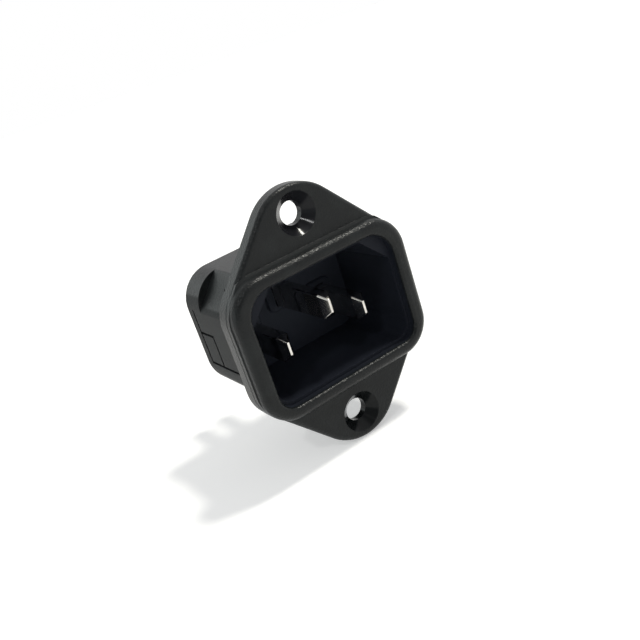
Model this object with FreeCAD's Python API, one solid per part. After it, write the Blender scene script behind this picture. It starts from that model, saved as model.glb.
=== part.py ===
import FreeCAD, Part
import math
import os

# A C14 panel inlet: the three-pin power inlet that is screwed to the front of a
# panel and takes the plug of a detachable cord.  It is four pieces: one moulded
# housing and three blade contacts that are pressed in from behind and staked.
#
# Millimetres.  +X is right and +Z is up as the plug comes in, +Y points into the
# cabinet.  The origin is the middle of the flange's back face, which lies on the panel.

V = FreeCAD.Vector
REARWARD = V(0, 1, 0)

# ---- cavity, which the plug's nose fits ------------------------------------------
CAVITY_WIDTH = 24.4
CAVITY_HEIGHT = 16.9
CAVITY_DEPTH = 16.5            # from the front of the rim to the floor
CAVITY_CHAMFER = 4.3           # the two corners beside the earth blade
CAVITY_CHAMFER_ROUND = 0.5
CAVITY_LOWER_RADIUS = 2.5

# ---- rounded mouth in front of the cavity, which leaves a ledge in each upper corner --
MOUTH_STEP_SIDE = 0.35         # wider than the cavity, each side
MOUTH_STEP_TOP = 0.5           # higher than the cavity, above and below
MOUTH_DEPTH = 1.6
MOUTH_UPPER_RADIUS = 4.0
MOUTH_LOWER_RADIUS = 2.6
MOUTH_EDGE_ROUND = 0.6

# ---- rim round the mouth ---------------------------------------------------------
RIM_SIDE_BAND = 2.55           # width of the rim beside the mouth
RIM_TOP_BAND = 2.15            # above and below it
RIM_RISE = 2.0                 # from the flange's face to the front of the rim
RIM_UPPER_RADIUS = 5.5
RIM_LOWER_RADIUS = 5.3
RIM_DRAFT = 3.0                # degrees, so that the rim leaves its mould
RIM_EDGE_ROUND = 1.3
RIM_FOOT = 0.35                # small bead between the rim and the flange
RIM_FOOT_INSET = 0.05          # inside the flange's edge, where the two sides run flush

# ---- flange ----------------------------------------------------------------------
FLANGE_THICKNESS = 2.8
FLANGE_MARGIN = 0.2            # wider than the rim, each side
FLANGE_SIDE_RADIUS = 5.8       # where a sloping edge meets a straight side
FLANGE_EDGE_ROUND = 0.75       # front edge
FLANGE_BACK_BEVEL = 0.3        # edge that lies on the panel
EAR_MARGIN = 4.2               # from a screw hole to the end of its ear
EAR_RADIUS = 7.8
EAR_SLOPE = 47.2               # degrees from level, of the edges that run out to an ear

# ---- screw holes -----------------------------------------------------------------
HOLE_PITCH = 32.4
HOLE_DIAMETER = 3.5
COUNTERSINK_DIAMETER = 6.4
COUNTERSINK_DEPTH = 1.6

# ---- body behind the panel ---------------------------------------------------------
SIDE_WALL = 1.15
TOP_WALL = 1.55
CHAMFER_WALL = 1.55            # along the cavity's two cut corners
REAR_WALL = 4.6
BLOCK_LEAD = 0.35              # the rear block starts this far in front of the floor
SLEEVE_CHAMFER_ROUND = 0.6
SLEEVE_CHAMFER_LEAN = 0.45      # more taken off the side than off the top
BODY_UPPER_RADIUS = 5.3        # upper corners of the rear block
BODY_LOWER_RADIUS = 5.6
BODY_REAR_BEVEL = 0.3

# ---- fine lines moulded in the left side of the body ---------------------------------
PANEL_TOP_MARGIN = 0.3         # below the cut corner
PANEL_BOTTOM_MARGIN = 0.1      # above the round corner
PANEL_REAR_MARGIN = 2.15       # from the rear face
PANEL_FRONT = 5.2              # behind the flange
FIELD_LENGTH = 4.2             # small field in the panel's lower rear corner
FIELD_HEIGHT = 5.3
GROOVE_WIDTH = 0.42
GROOVE_DEPTH = 0.35

# ---- mark of a mould pin, in the cut corner above that panel ---------------------------
PIN_MARK_DIAMETER = 0.5
PIN_MARK_DEPTH = 0.2
PIN_MARK_BEHIND_PANEL = 5.9
PIN_MARK_SHARE = 0.62          # of the way up the cut corner

# ---- contacts ----------------------------------------------------------------------
LINE_SPACING = 14.0            # between the line and neutral blades
EARTH_OFFSET = 4.0             # earth blade above the other two
CONTACT_ROW = -2.0             # height of the line and neutral blades
BLADE_THICKNESS = 2.0
BLADE_HEIGHT = 4.0
BLADE_EDGE_ROUND = 0.25
TIP_BEVEL_LENGTH = 1.3
TIP_THICKNESS = 0.34           # flat left at the very end
TIP_HEIGHT = 2.06
LINE_TIP_SET_BACK = 3.75       # from the front of the rim to the tips
EARTH_TIP_SET_BACK = 0.9       # the earth blade makes first and breaks last

# ---- raised pad at the foot of each blade ----------------------------------------------
PAD_SIDE_MARGIN = 1.5
PAD_END_MARGIN = 0.9
PAD_RISE = 0.5
PAD_RADIUS = 1.2
PAD_EDGE_BEVEL = 0.2

# ---- tabs behind the body, and how the contacts are held --------------------------------
TAB_WIDTH = 6.3
TAB_THICKNESS = 0.8
TAB_LENGTH = 8.4               # behind the rear face
TAB_NOSE = 1.2                 # bevelled end that guides the receptacle on
TAB_HOLE_DIAMETER = 1.7
TAB_HOLE_FROM_END = 3.8
TAB_CLEARANCE = 0.3            # above and below, where the tab leaves the body
SHOULDER_LENGTH = 1.0
STAKE_OVERLAP = 0.35           # plastic turned over each end of the shoulder
STAKE_LENGTH = 0.7
BLADE_CLEARANCE = 0.05         # each side, in the slot through the rear wall
POCKET_CLEARANCE = 0.15        # round the shoulder

# ---- worked out ------------------------------------------------------------------------
MOUTH_WIDTH = CAVITY_WIDTH + 2 * MOUTH_STEP_SIDE
MOUTH_HEIGHT = CAVITY_HEIGHT + 2 * MOUTH_STEP_TOP
RIM_WIDTH = MOUTH_WIDTH + 2 * RIM_SIDE_BAND
RIM_HEIGHT = MOUTH_HEIGHT + 2 * RIM_TOP_BAND
FLANGE_WIDTH = RIM_WIDTH + 2 * FLANGE_MARGIN
FLANGE_HEIGHT = HOLE_PITCH + 2 * EAR_MARGIN
BODY_WIDTH = CAVITY_WIDTH + 2 * SIDE_WALL
BODY_HEIGHT = CAVITY_HEIGHT + 2 * TOP_WALL
SLEEVE_CHAMFER = CAVITY_CHAMFER + SIDE_WALL + TOP_WALL - CHAMFER_WALL * math.sqrt(2)
SLEEVE_CHAMFER_ACROSS = SLEEVE_CHAMFER - SLEEVE_CHAMFER_LEAN / 2
SLEEVE_CHAMFER_DOWN = SLEEVE_CHAMFER + SLEEVE_CHAMFER_LEAN / 2
SHOULDER_HEIGHT = TAB_WIDTH + 2 * (TAB_CLEARANCE + STAKE_OVERLAP)

FLANGE_FRONT = -FLANGE_THICKNESS
RIM_FRONT = FLANGE_FRONT - RIM_RISE
LEDGE = RIM_FRONT + MOUTH_DEPTH
FLOOR = RIM_FRONT + CAVITY_DEPTH
PAD_FRONT = FLOOR - PAD_RISE
BLOCK_FRONT = FLOOR - BLOCK_LEAD
BODY_REAR = FLOOR + REAR_WALL
STAKE_FRONT = BODY_REAR - STAKE_LENGTH
POCKET_FRONT = STAKE_FRONT - SHOULDER_LENGTH

OVERRUN = 1.0                  # how far a cutting tool passes a face
SUNK = 0.4                     # how far one moulded block runs into the next

# node name: x and z of its blade, and how far its tip lies behind the front of the rim
CONTACTS = {
    "line_contact": (LINE_SPACING / 2, CONTACT_ROW, LINE_TIP_SET_BACK),
    "neutral_contact": (-LINE_SPACING / 2, CONTACT_ROW, LINE_TIP_SET_BACK),
    "earth_contact": (0.0, CONTACT_ROW + EARTH_OFFSET, EARTH_TIP_SET_BACK),
}


def outline(corners, radii, y):
    """Closed wire at depth y: straight runs between (x, z) corners, each corner with its radius."""
    points = [V(x, y, z) for x, z in corners]
    edges = []
    starts = []
    ends = []
    for i, here in enumerate(points):
        back = (points[i - 1] - here).normalize()
        ahead = (points[(i + 1) % len(points)] - here).normalize()
        half = back.getAngle(ahead) / 2
        reach = radii[i] / math.tan(half)
        starts.append(here + back * reach)
        ends.append(here + ahead * reach)
        middle = here + (back + ahead).normalize() * (radii[i] / math.sin(half) - radii[i])
        edges.append(Part.Arc(starts[i], middle, ends[i]).toShape())
    for i, end in enumerate(ends):
        edges.append(Part.makeLine(end, starts[(i + 1) % len(starts)]))
    return Part.Wire(Part.__sortEdges__(edges))


def block(wire, length):
    """Solid made by pushing a flat wire rearwards."""
    return Part.Face(wire).extrude(REARWARD * length)


def box(width, length, height, x, y, z):
    """Box centred on x and z whose front face is at y."""
    return Part.makeBox(width, length, height, V(x - width / 2, y, z - height / 2))


def rounded_rectangle(width, height, upper_radius, lower_radius, y):
    """Upright rectangle with one radius for its upper corners and one for its lower."""
    x = width / 2
    z = height / 2
    corners = [(-x, -z), (x, -z), (x, z), (-x, z)]
    return outline(corners, [lower_radius, lower_radius, upper_radius, upper_radius], y)


def chamfered_rectangle(width, height, across, down, chamfer_round, lower_radius, y):
    """Rectangle whose two upper corners are cut off, so far across the top and down each side."""
    x = width / 2
    z = height / 2
    corners = [(-x, -z), (x, -z), (x, z - down), (x - across, z), (across - x, z), (-x, z - down)]
    return outline(corners, [lower_radius] * 2 + [chamfer_round] * 4, y)


def edges_at(shape, y):
    """Edges of a shape that lie wholly at depth y."""
    return [e for e in shape.Edges if max(abs(e.BoundBox.YMin - y), abs(e.BoundBox.YMax - y)) < 1e-4]


def flange_outline(inset, y):
    """Outline with two ears, moved inwards by an inset: six tangent sides with rounded corners."""
    slope = math.radians(EAR_SLOPE)
    side = FLANGE_WIDTH / 2 - inset
    ear = EAR_RADIUS - inset
    corner = FLANGE_SIDE_RADIUS - inset
    apex = FLANGE_HEIGHT / 2 - EAR_RADIUS + ear / math.cos(slope)
    shoulder = apex - side * math.tan(slope)
    corners = [(side, -shoulder), (side, shoulder), (0, apex)]
    corners += [(-x, -z) for x, z in corners]
    return outline(corners, [corner, corner, ear] * 2, y)


def make_flange():
    """Flat plate, its front edge rounded for the hand and its back edge bevelled for the panel."""
    plate = block(flange_outline(0, FLANGE_FRONT), FLANGE_THICKNESS)
    plate = plate.makeFillet(FLANGE_EDGE_ROUND, edges_at(plate, FLANGE_FRONT))
    return plate.makeChamfer(FLANGE_BACK_BEVEL, edges_at(plate, 0))


def rim_outline(offset, y):
    """The rim's outline at its foot, moved outwards by an offset."""
    width = RIM_WIDTH + 2 * offset
    height = RIM_HEIGHT + 2 * offset
    return rounded_rectangle(width, height, RIM_UPPER_RADIUS + offset, RIM_LOWER_RADIUS + offset, y)


def make_rim():
    """Drafted wall in front of the flange, still solid, with its rounded outer edge."""
    lean = RIM_RISE * math.tan(math.radians(RIM_DRAFT))
    foot = rim_outline(0, FLANGE_FRONT)
    wall = Part.makeLoft([foot, rim_outline(-lean, RIM_FRONT)], True, True)
    wall = wall.makeFillet(RIM_EDGE_ROUND, edges_at(wall, RIM_FRONT))
    return wall.fuse(block(foot, FLANGE_EDGE_ROUND + SUNK))


def make_rim_foot():
    """Small sloping bead that eases the rim into the flange, and runs flush down its two sides."""
    front = FLANGE_FRONT - RIM_FOOT
    bead = Part.makeLoft([rim_outline(RIM_FOOT, FLANGE_FRONT), rim_outline(0, front)], True, True)
    foot = bead.fuse(block(rim_outline(RIM_FOOT, FLANGE_FRONT), FLANGE_EDGE_ROUND))
    return foot.common(block(flange_outline(RIM_FOOT_INSET, front), RIM_FOOT + FLANGE_EDGE_ROUND))


def make_body():
    """Sleeve with flat upper corners, then the full-cornered block that holds the contacts."""
    cut = [SLEEVE_CHAMFER_ACROSS, SLEEVE_CHAMFER_DOWN, SLEEVE_CHAMFER_ROUND]
    wire = chamfered_rectangle(BODY_WIDTH, BODY_HEIGHT, *cut, BODY_LOWER_RADIUS, -SUNK)
    sleeve = block(wire, BLOCK_FRONT + 2 * SUNK)
    wire = rounded_rectangle(BODY_WIDTH, BODY_HEIGHT, BODY_UPPER_RADIUS, BODY_LOWER_RADIUS, BLOCK_FRONT)
    rear = block(wire, BODY_REAR - BLOCK_FRONT)
    rear = rear.makeChamfer(BODY_REAR_BEVEL, edges_at(rear, BODY_REAR))
    return sleeve.fuse(rear)


def make_opening():
    """Tool for the opening: the rounded mouth, then the cavity behind its ledges."""
    front = RIM_FRONT - OVERRUN
    wire = rounded_rectangle(MOUTH_WIDTH, MOUTH_HEIGHT, MOUTH_UPPER_RADIUS, MOUTH_LOWER_RADIUS, front)
    mouth = block(wire, LEDGE - front)
    cut = [CAVITY_CHAMFER, CAVITY_CHAMFER, CAVITY_CHAMFER_ROUND]
    wire = chamfered_rectangle(CAVITY_WIDTH, CAVITY_HEIGHT, *cut, CAVITY_LOWER_RADIUS, front)
    cavity = block(wire, FLOOR - front)
    return mouth.fuse(cavity)


def is_mouth_edge(edge):
    """True for an edge on the inner half of the rim's front."""
    bounds = edge.BoundBox
    wide = max(-bounds.XMin, bounds.XMax)
    high = max(-bounds.ZMin, bounds.ZMax)
    return wide < (MOUTH_WIDTH + RIM_WIDTH) / 4 and high < (MOUTH_HEIGHT + RIM_HEIGHT) / 4


def make_pad(x, z):
    """Raised pad at the foot of one blade, its front edge bevelled."""
    width = BLADE_THICKNESS + 2 * PAD_SIDE_MARGIN
    height = BLADE_HEIGHT + 2 * PAD_END_MARGIN
    pad = block(rounded_rectangle(width, height, PAD_RADIUS, PAD_RADIUS, PAD_FRONT), PAD_RISE + SUNK)
    pad = pad.makeChamfer(PAD_EDGE_BEVEL, edges_at(pad, PAD_FRONT))
    pad.translate(V(x, 0, z))
    return pad


def make_screw_hole(z):
    """Through hole with a countersink in the flange's face."""
    front = V(0, FLANGE_FRONT - OVERRUN, z)
    radius = HOLE_DIAMETER / 2
    widening = (COUNTERSINK_DIAMETER / 2 - radius) / COUNTERSINK_DEPTH
    cone_length = COUNTERSINK_DEPTH + OVERRUN
    bore = Part.makeCylinder(radius, FLANGE_THICKNESS + 2 * OVERRUN, front, REARWARD)
    cone = Part.makeCone(radius + cone_length * widening, radius, cone_length, front, REARWARD)
    return bore.fuse(cone)


def make_contact_slot(x, z):
    """Slot for one blade, the pocket for its shoulder and the mouth between the stakes."""
    front = PAD_FRONT - OVERRUN
    width = BLADE_THICKNESS + 2 * BLADE_CLEARANCE
    slot = box(width, POCKET_FRONT + SUNK - front, BLADE_HEIGHT + 2 * BLADE_CLEARANCE, x, front, z)
    width = BLADE_THICKNESS + 2 * POCKET_CLEARANCE
    pocket = box(width, SHOULDER_LENGTH, SHOULDER_HEIGHT + 2 * POCKET_CLEARANCE, x, POCKET_FRONT, z)
    mouth = box(width, STAKE_LENGTH + OVERRUN, SHOULDER_HEIGHT - 2 * STAKE_OVERLAP, x, STAKE_FRONT, z)
    return slot.fuse([pocket, mouth])


def make_panel_lines():
    """Tools for the line round the moulded panel and the small field in its corner."""
    rear = BODY_REAR - PANEL_REAR_MARGIN
    top = BODY_HEIGHT / 2 - SLEEVE_CHAMFER_DOWN - PANEL_TOP_MARGIN
    bottom = BODY_LOWER_RADIUS - BODY_HEIGHT / 2 + PANEL_BOTTOM_MARGIN
    field = rear - FIELD_LENGTH
    field_top = bottom + FIELD_HEIGHT
    lines = [(rear, bottom, rear, top), (PANEL_FRONT, bottom, rear, bottom)]
    lines += [(field, bottom, field, field_top), (field, field_top, rear, field_top)]
    half = GROOVE_WIDTH / 2
    depth = OVERRUN + GROOVE_DEPTH
    tools = []
    for y0, z0, y1, z1 in lines:
        corner = V(-BODY_WIDTH / 2 - OVERRUN, y0 - half, z0 - half)
        tools.append(Part.makeBox(depth, y1 - y0 + GROOVE_WIDTH, z1 - z0 + GROOVE_WIDTH, corner))
    return tools


def make_pin_mark():
    """Tool for the shallow round mark that a mould pin leaves in the left cut corner."""
    low = V(-BODY_WIDTH / 2, PIN_MARK_BEHIND_PANEL, BODY_HEIGHT / 2 - SLEEVE_CHAMFER_DOWN)
    up_the_cut = V(SLEEVE_CHAMFER_ACROSS, 0, SLEEVE_CHAMFER_DOWN)
    outwards = V(-SLEEVE_CHAMFER_DOWN, 0, SLEEVE_CHAMFER_ACROSS).normalize()
    bottom = low + up_the_cut * PIN_MARK_SHARE - outwards * PIN_MARK_DEPTH
    return Part.makeCylinder(PIN_MARK_DIAMETER / 2, PIN_MARK_DEPTH + OVERRUN, bottom, outwards)


def make_housing():
    """The one moulding: flange, rim, sleeve and block, less its opening, holes and slots."""
    solid = make_flange().fuse([make_rim(), make_rim_foot(), make_body()]).removeSplitter()
    solid = solid.cut(make_opening())
    mouth = [edge for edge in edges_at(solid, RIM_FRONT) if is_mouth_edge(edge)]
    solid = solid.makeFillet(MOUTH_EDGE_ROUND, mouth)
    solid = solid.fuse([make_pad(x, z) for x, z, set_back in CONTACTS.values()])
    tools = [make_screw_hole(HOLE_PITCH / 2), make_screw_hole(-HOLE_PITCH / 2)]
    tools += [make_contact_slot(x, z) for x, z, set_back in CONTACTS.values()]
    tools += make_panel_lines() + [make_pin_mark()]
    return solid.cut(tools)


def make_blade(x, z, tip):
    """Blade from its bevelled tip back to the shoulder, with eased long edges."""
    start = tip + TIP_BEVEL_LENGTH
    length = POCKET_FRONT - start
    bar = box(BLADE_THICKNESS, length, BLADE_HEIGHT, x, start, z)
    long_edges = [e for e in bar.Edges if e.BoundBox.YLength > length / 2]
    bar = bar.makeFillet(BLADE_EDGE_ROUND, long_edges)
    tip_round = BLADE_EDGE_ROUND / 2
    point = rounded_rectangle(TIP_THICKNESS, TIP_HEIGHT, tip_round, tip_round, tip)
    root = rounded_rectangle(BLADE_THICKNESS, BLADE_HEIGHT, BLADE_EDGE_ROUND, BLADE_EDGE_ROUND, start)
    bevel = Part.makeLoft([point, root], True, True)
    bevel.translate(V(x, 0, z))
    return bar.fuse(bevel)


def make_tab(x, z):
    """Flat tab behind the shoulder, with its detent hole and bevelled nose."""
    end = BODY_REAR + TAB_LENGTH
    half = TAB_WIDTH / 2
    corners = [(STAKE_FRONT, half), (end - TAB_NOSE, half), (end, half - TAB_NOSE)]
    corners += [(end, TAB_NOSE - half), (end - TAB_NOSE, -half), (STAKE_FRONT, -half)]
    points = [V(x - TAB_THICKNESS / 2, y, z + height) for y, height in corners]
    tab = Part.Face(Part.makePolygon(points + points[:1])).extrude(V(TAB_THICKNESS, 0, 0))
    hole_at = V(x - TAB_THICKNESS, end - TAB_HOLE_FROM_END, z)
    return tab.cut(Part.makeCylinder(TAB_HOLE_DIAMETER / 2, 2 * TAB_THICKNESS, hole_at, V(1, 0, 0)))


def make_contact(x, z, set_back):
    """One piece of plated brass: blade, the shoulder that seats in the pocket, and tab."""
    blade = make_blade(x, z, RIM_FRONT + set_back)
    shoulder = box(BLADE_THICKNESS, SHOULDER_LENGTH, SHOULDER_HEIGHT, x, POCKET_FRONT, z)
    return blade.fuse([shoulder, make_tab(x, z)]).removeSplitter()


def save(shape, node):
    """Write one node's solid under its own name."""
    shape.exportStep("parts/" + node + ".step")


def main():
    os.makedirs("parts", exist_ok=True)
    save(make_housing(), "housing")
    for node, place in CONTACTS.items():
        save(make_contact(*place), node)


main()
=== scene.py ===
import bmesh
import bpy
from mathutils import Matrix, Vector


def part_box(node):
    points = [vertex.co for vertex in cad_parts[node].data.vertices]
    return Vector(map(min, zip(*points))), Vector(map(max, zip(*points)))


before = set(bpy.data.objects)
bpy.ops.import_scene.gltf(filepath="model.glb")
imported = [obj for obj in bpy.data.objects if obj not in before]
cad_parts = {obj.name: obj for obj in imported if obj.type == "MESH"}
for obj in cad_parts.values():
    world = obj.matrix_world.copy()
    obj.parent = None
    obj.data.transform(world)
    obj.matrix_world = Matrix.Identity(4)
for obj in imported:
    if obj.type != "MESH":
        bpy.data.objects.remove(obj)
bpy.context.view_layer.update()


# Housing: one injection moulding in black glass-filled nylon. The mould is
# spark eroded, which leaves a matte grain on the flange, rim and body. Its core
# leaves the plug recess satin, and its pins leave the two screw cones glossy.
class NodeOutput:
    """A node's output, whose operators add Math nodes."""

    def __init__(self, nodes, socket):
        self.nodes, self.socket = nodes, socket

    def math(self, operation, first, second=0.0):
        return self.nodes.add("ShaderNodeMath", {"operation": operation}, {0: first, 1: second})

    def __add__(self, other):
        return self.math("ADD", self, other)

    def __sub__(self, other):
        return self.math("SUBTRACT", self, other)

    def __rsub__(self, other):
        return self.math("SUBTRACT", other, self)

    def __mul__(self, other):
        return self.math("MULTIPLY", self, other)

    def __abs__(self):
        return self.math("ABSOLUTE", self)

    __radd__ = __add__
    __rmul__ = __mul__

    def past(self, edge):
        """0 up to where the edge starts, 1 from where it ends, and a smooth climb between."""
        start, end = edge
        return self.nodes.add(
            "ShaderNodeMapRange",
            {"interpolation_type": "SMOOTHSTEP"},
            {"Value": self, "From Min": start, "From Max": end},
        )

    def before(self, edge):
        return 1 - self.past(edge)


class Nodes:
    """The node tree of a material or a world, empty apart from its output."""

    def __init__(self, owner, output="ShaderNodeOutputMaterial"):
        owner.use_nodes = True
        self.tree = owner.node_tree
        self.tree.nodes.clear()
        self.output = self.tree.nodes.new(output)

    def add(self, kind, settings=None, inputs=None, output=0):
        node = self.tree.nodes.new(kind)
        for name, value in (settings or {}).items():
            setattr(node, name, value)
        for name, value in (inputs or {}).items():
            if isinstance(value, NodeOutput):
                self.tree.links.new(value.socket, node.inputs[name])
            else:
                node.inputs[name].default_value = value
        return NodeOutput(self, node.outputs[output])

    def millimetres(self):
        """Object coordinates in millimetres."""
        place = self.add("ShaderNodeTexCoord", output=3)
        return self.add("ShaderNodeMapping", None, {"Vector": place, "Scale": (1000, 1000, 1000)})

    def noise(self, place, size, detail):
        """Soft random pattern whose patches are about this many millimetres across."""
        inputs = {"Vector": place, "Scale": 1 / size, "Detail": detail, "Roughness": 0.6}
        return self.add("ShaderNodeTexNoise", None, inputs)

    def mix(self, factor, first, second):
        """Colour that is the first where the factor is 0 and the second where it is 1."""
        inputs = {0: factor, 6: first, 7: second}
        return self.add("ShaderNodeMix", {"data_type": "RGBA"}, inputs, output=2)

    def mix_shaders(self, factor, first, second):
        return self.add("ShaderNodeMixShader", None, {0: factor, 1: first, 2: second})

    def finish(self, shader):
        self.tree.links.new(shader.socket, self.output.inputs["Surface"])


NYLON = (0.0068, 0.0082, 0.0088, 1)
NYLON_BLOOM = (0.0120, 0.0145, 0.0150, 1)   # paler where the filler comes to the skin
NYLON_CONE_PAINTED_LIGHT = (0.0135, 0.0140, 0.0165, 1)    # painted light: the upper screw cone paler than the lower, as it is lit
NYLON_CORNER_PAINTED_LIGHT = (0.0200, 0.0220, 0.0230, 1)  # painted light: paler, lifting the shade of the rim's foot crease
# Painted light: the recess is paler and bluer than the nylon outside, lifting its shade.
NYLON_RECESS_PAINTED_LIGHT = (0.0150, 0.0175, 0.0250, 1)
NYLON_DEEP_PAINTED_LIGHT = (0.0350, 0.0410, 0.0570, 1)    # painted light: paler still deeper in the recess, lifting its shade

# Each edge is where one finish starts to turn into the next and where it has
# done so, in mm. The panel is at y = 0, and the plug comes from the -y side.
EAR_MARGIN = 4.2                            # from a screw hole to the end of its ear
CONE_EDGE = (3.05, 3.25)                    # from the hole's axis
CONE_BACK = (-0.15, -0.05)
CONE_UPPER = (-3.2, 3.2)                    # from the lower cone's colour to the upper's painted lighter one
RECESS_SIDE = (12.55, 12.75)
RECESS_TOP = (8.9, 9.1)                     # and its bottom
RECESS_FRONT = (-4.5, -3.9)
RECESS_BACK = (12.2, 12.5)
RECESS_DEEPER = (-2.0, 9.0)
CUT_CORNER = (17.1, 17.5)                   # of x + z, behind the mouth
ROUND_CORNER = (19.3, 19.5)                 # of x - z, behind the mouth
MOUTH_BACK = (-2.9, -2.8)
BODY_FRONT = (0.2, 0.3)
BODY_SIDE = (12.6, 12.9)
FOOT_FRONT = (-3.9, -3.6)                   # the foot is where the rim meets the flange
FOOT_BACK = (-2.84, -2.79)
FOOT_SIDE = (12.5, 14.5)

GRAIN = 0.25                                # mm across
GRAIN_DEPTH = 0.000038                      # metres
BLOOM = 3.5                                 # mm across
BLOOM_EDGE = (0.42, 0.72)                   # of the random pattern

ROUGHNESS = 0.28
ROUGHNESS_BLOOM = 0.06                      # more in the bloom
ROUGHNESS_BODY = 0.08                       # more behind the panel
ROUGHNESS_BODY_SIDE = 0.24                  # more again on the body's sides
ROUGHNESS_CORNER = 0.70
ROUGHNESS_CONE = 0.13
ROUGHNESS_RECESS = 0.42
ROUGHNESS_RECESS_BLOOM = 0.12               # more in the recess's bloom
SHINE = 0.22
SHINE_CORNER = 0.08
SHINE_CONE = 0.15
SHINE_RECESS = 0.10
CORNER_SHARE = 0.95                         # of the foot's dull finish and its painted light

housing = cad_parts["housing"]
housing_low, housing_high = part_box("housing")

black_nylon = bpy.data.materials.new("black_nylon")
nylon = Nodes(black_nylon)
place = nylon.millimetres()
x, y, z = (nylon.add("ShaderNodeSeparateXYZ", None, {0: place}, output=i) for i in range(3))

from_hole = abs(z) - (housing_high.z * 1000 - EAR_MARGIN)
cone = (x * x + from_hole * from_hole).before([distance**2 for distance in CONE_EDGE])
cone = cone * y.before(CONE_BACK)
behind_mouth = y.past(MOUTH_BACK)
recess = abs(x).before(RECESS_SIDE) * abs(z).before(RECESS_TOP)
recess = recess * y.past(RECESS_FRONT) * y.before(RECESS_BACK)
recess = recess * (1 - behind_mouth * (abs(x) + z).past(CUT_CORNER))
recess = recess * (1 - behind_mouth * (abs(x) - z).past(ROUND_CORNER))
body = y.past(BODY_FRONT)
body_side = body * abs(x).past(BODY_SIDE)
foot = y.past(FOOT_FRONT) * y.before(FOOT_BACK) * abs(x).before(FOOT_SIDE) * (1 - recess)

grain = nylon.add("ShaderNodeTexVoronoi", None, {"Vector": place, "Scale": 1 / GRAIN})
grained = nylon.add(
    "ShaderNodeBump", None, {"Strength": 1.0, "Distance": GRAIN_DEPTH, "Height": grain}
)
bloom = nylon.noise(place, BLOOM, detail=4.0)
roughness = ROUGHNESS + ROUGHNESS_BLOOM * bloom
matte = nylon.add(
    "ShaderNodeBsdfPrincipled",
    None,
    {
        "Base Color": nylon.mix(bloom.past(BLOOM_EDGE), NYLON, NYLON_BLOOM),
        "Roughness": roughness + ROUGHNESS_BODY * body + ROUGHNESS_BODY_SIDE * body_side,
        "Specular IOR Level": SHINE,
        "Normal": grained,
    },
)
# The foot where the rim meets the flange is dull, with low shine, and its paler colour is painted
# light over the crease's shade.
dull = nylon.add(
    "ShaderNodeBsdfPrincipled",
    None,
    {
        "Base Color": NYLON_CORNER_PAINTED_LIGHT,
        "Roughness": ROUGHNESS_CORNER,
        "Specular IOR Level": SHINE_CORNER,
    },
)
# The screw cones are glossy, and the upper one's paler colour is painted light.
glossy = nylon.add(
    "ShaderNodeBsdfPrincipled",
    None,
    {
        "Base Color": nylon.mix(z.past(CONE_UPPER), NYLON, NYLON_CONE_PAINTED_LIGHT),
        "Roughness": ROUGHNESS_CONE + ROUGHNESS_BLOOM * bloom,
        "Specular IOR Level": SHINE_CONE,
    },
)
# The recess is satin, and its colour is painted light, paler deeper in.
satin = nylon.add(
    "ShaderNodeBsdfPrincipled",
    None,
    {
        "Base Color": nylon.mix(y.past(RECESS_DEEPER), NYLON_RECESS_PAINTED_LIGHT, NYLON_DEEP_PAINTED_LIGHT),
        "Roughness": ROUGHNESS_RECESS + ROUGHNESS_RECESS_BLOOM * bloom,
        "Specular IOR Level": SHINE_RECESS,
    },
)
outside = nylon.mix_shaders(CORNER_SHARE * foot, matte, dull)
outside = nylon.mix_shaders(cone, outside, glossy)
nylon.finish(nylon.mix_shaders(recess, outside, satin))
for material_slot in housing.material_slots:
    material_slot.material = black_nylon


# Contacts: three strips of nickel-plated brass, each stamped in one piece
# with its blade, shoulder and tab, coined to a wedge at the tip, and pushed
# through the rear wall from behind. The plating is slightly clouded.
NICKEL = (0.71, 0.69, 0.65, 1)
NICKEL_DULL = (0.56, 0.54, 0.50, 1)
CLOUD = 1.6                                 # mm across
CLOUD_EDGE = (0.4, 0.7)                     # of the random pattern
NICKEL_ROUGHNESS = 0.07
NICKEL_ROUGHNESS_CLOUD = 0.03               # more in the clouds

nickel_on_brass = bpy.data.materials.new("nickel_on_brass")
nickel = Nodes(nickel_on_brass)
cloud = nickel.noise(nickel.millimetres(), CLOUD, detail=3.0)
nickel.finish(
    nickel.add(
        "ShaderNodeBsdfPrincipled",
        None,
        {
            "Base Color": nickel.mix(cloud.past(CLOUD_EDGE), NICKEL, NICKEL_DULL),
            "Metallic": 1.0,
            "Roughness": NICKEL_ROUGHNESS + NICKEL_ROUGHNESS_CLOUD * cloud,
        },
    )
)
for name in ("line_contact", "neutral_contact", "earth_contact"):
    for material_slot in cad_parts[name].material_slots:
        material_slot.material = nickel_on_brass


# Floor: a wide sheet of white paper under the lower ear. To the eye, and
# mirrored in the socket, it is lifted to white apart from the soft shadow.
FLOOR_HALF = 1.2
FLOOR_GAP = 0.0001                          # under the ear
PAPER = (0.88, 0.88, 0.88, 1)
PAPER_ROUGHNESS = 0.9
PAPER_LIFT = 0.40                           # what it gains where it is seen
WHITE = (1, 1, 1, 1)
SEEN_RAYS = ("Is Camera Ray", "Is Glossy Ray", "Is Transmission Ray")

white_paper = bpy.data.materials.new("white_paper")
paper = Nodes(white_paper)
camera_ray, glossy_ray, clear_ray = (
    paper.add("ShaderNodeLightPath", output=kind) for kind in SEEN_RAYS
)
sheet = paper.add(
    "ShaderNodeBsdfPrincipled",
    None,
    {"Base Color": PAPER, "Roughness": PAPER_ROUGHNESS, "Specular IOR Level": 0.0},
)
lift = paper.add("ShaderNodeEmission", None, {"Color": WHITE, "Strength": PAPER_LIFT})
lifted = paper.add("ShaderNodeAddShader", None, {0: sheet, 1: lift})
paper.finish(paper.mix_shaders(camera_ray + glossy_ray + clear_ray, sheet, lifted))

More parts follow.
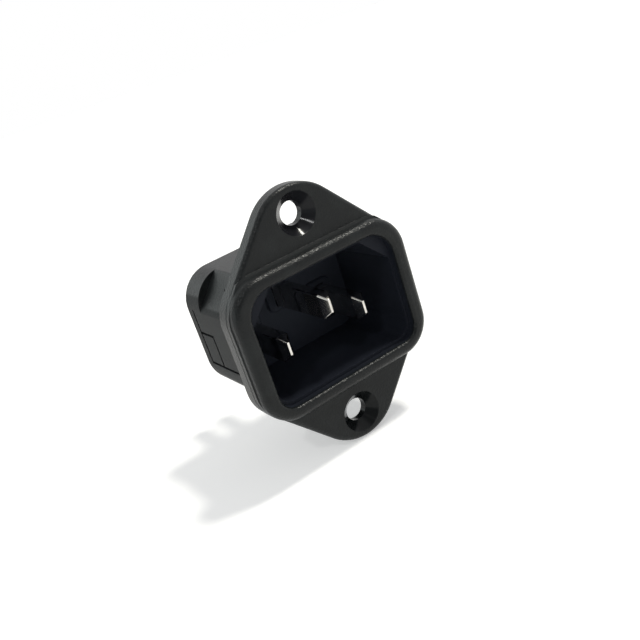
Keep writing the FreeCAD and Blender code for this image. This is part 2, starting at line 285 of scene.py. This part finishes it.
mesh = bpy.data.meshes.new("paper_floor")
shape = bmesh.new()
bmesh.ops.create_grid(shape, x_segments=1, y_segments=1, size=FLOOR_HALF)
bmesh.ops.translate(shape, vec=(0, 0, housing_low.z - FLOOR_GAP), verts=shape.verts)
shape.to_mesh(mesh)
shape.free()
floor = bpy.data.objects.new("paper_floor", mesh)
bpy.context.scene.collection.objects.link(floor)
mesh.materials.append(white_paper)


# Room: white to the eye and dimmer as light. Glossy surfaces mirror it as
# white too, apart from its unlit side, which is up and to the camera's left.
ROOM_LIGHT = 0.34                           # share of white that it adds as light
UNLIT_SIDE = (-0.64, -0.57, 0.52)
UNLIT_SIDE_EDGE = (0.55, 0.92)              # cosines of the angles from its middle
UNLIT_SIDE_DEPTH = 0.70                     # share of white that it lacks

studio = bpy.data.worlds.new("studio")
bpy.context.scene.world = studio
room = Nodes(studio, "ShaderNodeOutputWorld")
camera_ray, glossy_ray, clear_ray = (
    room.add("ShaderNodeLightPath", output=kind) for kind in SEEN_RAYS
)
soft, white, dark = (
    room.add("ShaderNodeBackground", None, {"Color": WHITE, "Strength": strength})
    for strength in (ROOM_LIGHT, 1.0, 0.0)
)
direction = room.add("ShaderNodeTexCoord", output=0)
towards_unlit = room.add(
    "ShaderNodeVectorMath", {"operation": "DOT_PRODUCT"}, {0: direction, 1: UNLIT_SIDE}, output=1
)
mirrored = room.mix_shaders(
    1 - UNLIT_SIDE_DEPTH * towards_unlit.past(UNLIT_SIDE_EDGE), dark, white
)
unseen = room.mix_shaders(glossy_ray + clear_ray, soft, mirrored)
room.finish(room.mix_shaders(camera_ray, unseen, white))


# Lamps: a small soft box overhead, a little to the right, and a smaller one
# above the camera's left shoulder make the bright lines. A large window
# behind and a large panel at the left, both slightly green, light the body.
LAMP_DISTANCE = 2.5
PLAIN = (1.0, 1.0, 1.0)
WARM = (1.0, 0.98, 0.90)
PALE_GREEN = (0.85, 1.0, 0.97)


def soft_box(name, direction, size, watts, colour):
    light = bpy.data.lights.new(name, "AREA")
    light.shape = "DISK"
    light.size = size
    light.energy = watts
    light.color = colour
    lamp = bpy.data.objects.new(name, light)
    bpy.context.scene.collection.objects.link(lamp)
    towards = Vector(direction).normalized()
    lamp.location = towards * LAMP_DISTANCE
    lamp.rotation_euler = towards.to_track_quat("Z", "Y").to_euler()


soft_box("overhead_box", (0.43, -0.15, 0.89), size=0.32, watts=36.0, colour=WARM)
soft_box("shoulder_box", (-0.50, -0.41, 0.76), size=0.16, watts=6.0, colour=PLAIN)
soft_box("window", (-0.40, 0.83, 0.40), size=1.75, watts=5.5, colour=PALE_GREEN)
soft_box("side_panel", (-0.95, -0.05, 0.20), size=2.0, watts=9.0, colour=PALE_GREEN)


# Camera: to the left of the front and above it, tilted so that the socket
# leans to the left in the picture.
camera_data = bpy.data.cameras.new("camera")
camera_data.sensor_width = 36
camera_data.lens = 46.70
camera_data.clip_start, camera_data.clip_end = 0.005, 20
camera = bpy.data.objects.new("camera", camera_data)
bpy.context.scene.collection.objects.link(camera)
camera.matrix_world = Matrix(
    (
        (0.79063, 0.43945, -0.42637, -0.052801),
        (-0.53492, 0.15690, -0.83020, -0.102090),
        (-0.29794, 0.88446, 0.35913, 0.043401),
        (0, 0, 0, 1),
    )
)
bpy.context.scene.camera = camera
bpy.context.scene.view_settings.view_transform = "Standard"
